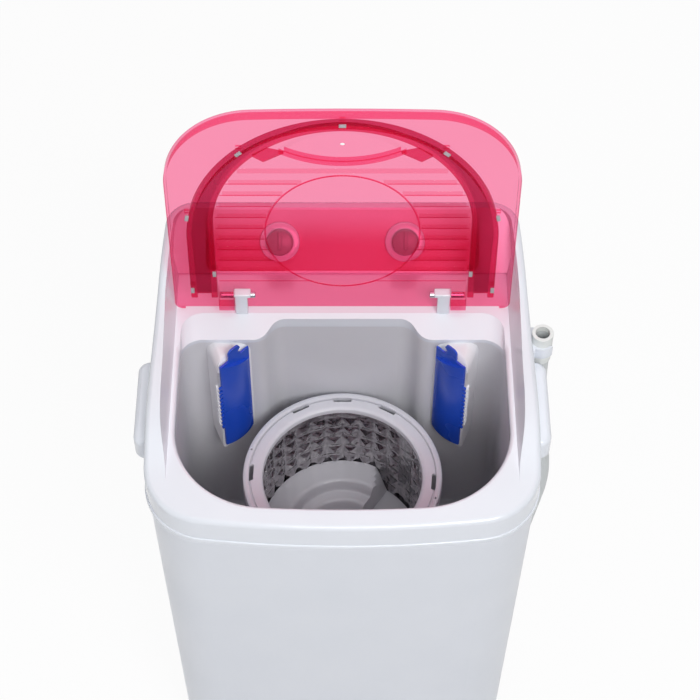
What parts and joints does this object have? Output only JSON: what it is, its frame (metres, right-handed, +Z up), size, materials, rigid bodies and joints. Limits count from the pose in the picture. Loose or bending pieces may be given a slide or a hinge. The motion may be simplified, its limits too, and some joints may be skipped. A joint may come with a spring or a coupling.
{
  "type": "top load washing machine",
  "caption": "Portable single-tub top load washer with a lift-out spin basket, hinged clear lid, console knobs, lint filters and a side drain hose.",
  "frame": {"origin": "on the floor, at the middle of the four feet", "axes": "+Z up from the floor, -Y out of the front of the machine, +X to the right seen from the front"},
  "size_m": [0.4211, 0.368, 0.7805],
  "materials": {
    "white_gloss": "glossy white moulded plastic",
    "white_cabinet": "glossy white moulded plastic",
    "white_tub": "semi-gloss white moulded plastic",
    "white_basket": "semi-gloss white moulded plastic",
    "clear_pink": "clear pink moulded plastic",
    "crimson": "clear dark red moulded plastic",
    "blue_filter": "glossy blue moulded plastic",
    "stainless": "pressed stainless steel sheet",
    "clear_hose": "milky flexible plastic",
    "hose_cuff": "soft white plastic",
    "grey_plastic": "plain grey plastic",
    "zinc_steel": "zinc plated steel",
    "ground_steel": "ground steel",
    "bearing_bronze": "sintered bronze",
    "cast_alloy": "die cast alloy",
    "motor_paint": "black enamel on steel",
    "black_rubber": "black rubber"
  },
  "bodies": {
    "machine": {"base_plate": "grey_plastic", "base_screws": "zinc_steel", "bearing_housing": "cast_alloy", "cabinet": "white_cabinet", "capacitor": "cast_alloy", "capacitor_strap": "zinc_steel", "console_back": "white_gloss", "console_screws": "zinc_steel", "cord_gland": "black_rubber", "drain_elbow": "grey_plastic", "drain_grille": "white_tub", "drain_hose": "clear_hose", "drain_pipe": "grey_plastic", "drive_belt": "black_rubber", "feet": "black_rubber", "filter_housing_left": "white_tub", "filter_housing_right": "white_tub", "handle_left": "white_gloss", "handle_right": "white_gloss", "hinge_pins": "ground_steel", "hinge_post_left": "white_gloss", "hinge_post_right": "white_gloss", "hose_clamp": "zinc_steel", "hose_clip": "white_gloss", "hose_cuff": "hose_cuff", "housing_bolts": "zinc_steel", "loom_clips": "grey_plastic", "motor_bolts": "zinc_steel", "motor_bracket": "zinc_steel", "motor_housing": "motor_paint", "motor_mounts": "black_rubber", "selector_body": "grey_plastic", "shaft_bushes": "bearing_bronze", "shaft_seal": "black_rubber", "timer_body": "grey_plastic", "top_frame": "white_gloss", "tub_screws": "zinc_steel", "wash_tub": "white_tub", "wiring_loom": "black_rubber"},
    "lid": {"lid_cover": "clear_pink", "lid_arch": "crimson"},
    "timer": {"timer_knob": "white_gloss"},
    "selector": {"selector_knob": "white_gloss"},
    "pulsator": {"pulsator": "white_basket", "pulsator_screw": "zinc_steel", "drive_shaft": "ground_steel", "drive_pulley": "cast_alloy", "pulley_nut": "zinc_steel"},
    "basket": {"basket_drum": "stainless", "basket_ring": "white_basket", "basket_base": "white_basket"},
    "rotor": {"motor_shaft": "ground_steel", "motor_pulley": "cast_alloy"},
    "filter_right": {"lint_filter_right": "blue_filter"},
    "filter_left": {"lint_filter_left": "blue_filter"}
  },
  "joints": [
    {"name": "lid_hinge", "type": "hinge", "parent": "machine", "child": "lid", "pos_m": [0, 0.078, 0.545], "axis": [1, 0, 0], "range_deg": [0, 99.9]},
    {"name": "timer_turn", "type": "hinge", "parent": "machine", "child": "timer", "pos_m": [0.063, 0.14706, 0.54408], "axis": [0, 0.6995, -0.7147], "range_deg": [0, 300]},
    {"name": "selector_turn", "type": "hinge", "parent": "machine", "child": "selector", "pos_m": [-0.063, 0.14706, 0.54408], "axis": [0, 0.6995, -0.7147], "range_deg": [0, 90]},
    {"name": "pulsator_spin", "type": "hinge", "parent": "machine", "child": "pulsator", "pos_m": [0, -0.0385, 0.2], "axis": [0, 0, 1], "continuous": true},
    {"name": "basket_lift", "type": "slide", "parent": "pulsator", "child": "basket", "axis": [0, 0, 1], "range_m": [0, 0.06]},
    {"name": "motor_spin", "type": "hinge", "parent": "machine", "child": "rotor", "pos_m": [-0.1, -0.02, 0.08], "axis": [0, 0, 1], "continuous": true},
    {"name": "filter_right_tilt", "type": "hinge", "parent": "machine", "child": "filter_right", "pos_m": [0.10822, 0.03335, 0.368], "axis": [0.7071, -0.7071, 0], "range_deg": [0, 9]},
    {"name": "filter_left_tilt", "type": "hinge", "parent": "machine", "child": "filter_left", "pos_m": [-0.10822, 0.03335, 0.368], "axis": [0.7071, 0.7071, 0], "range_deg": [0, 9]}
  ],
  "couplings": [
    {"joint": "motor_spin", "follows": "pulsator_spin", "ratio": 5}
  ]
}
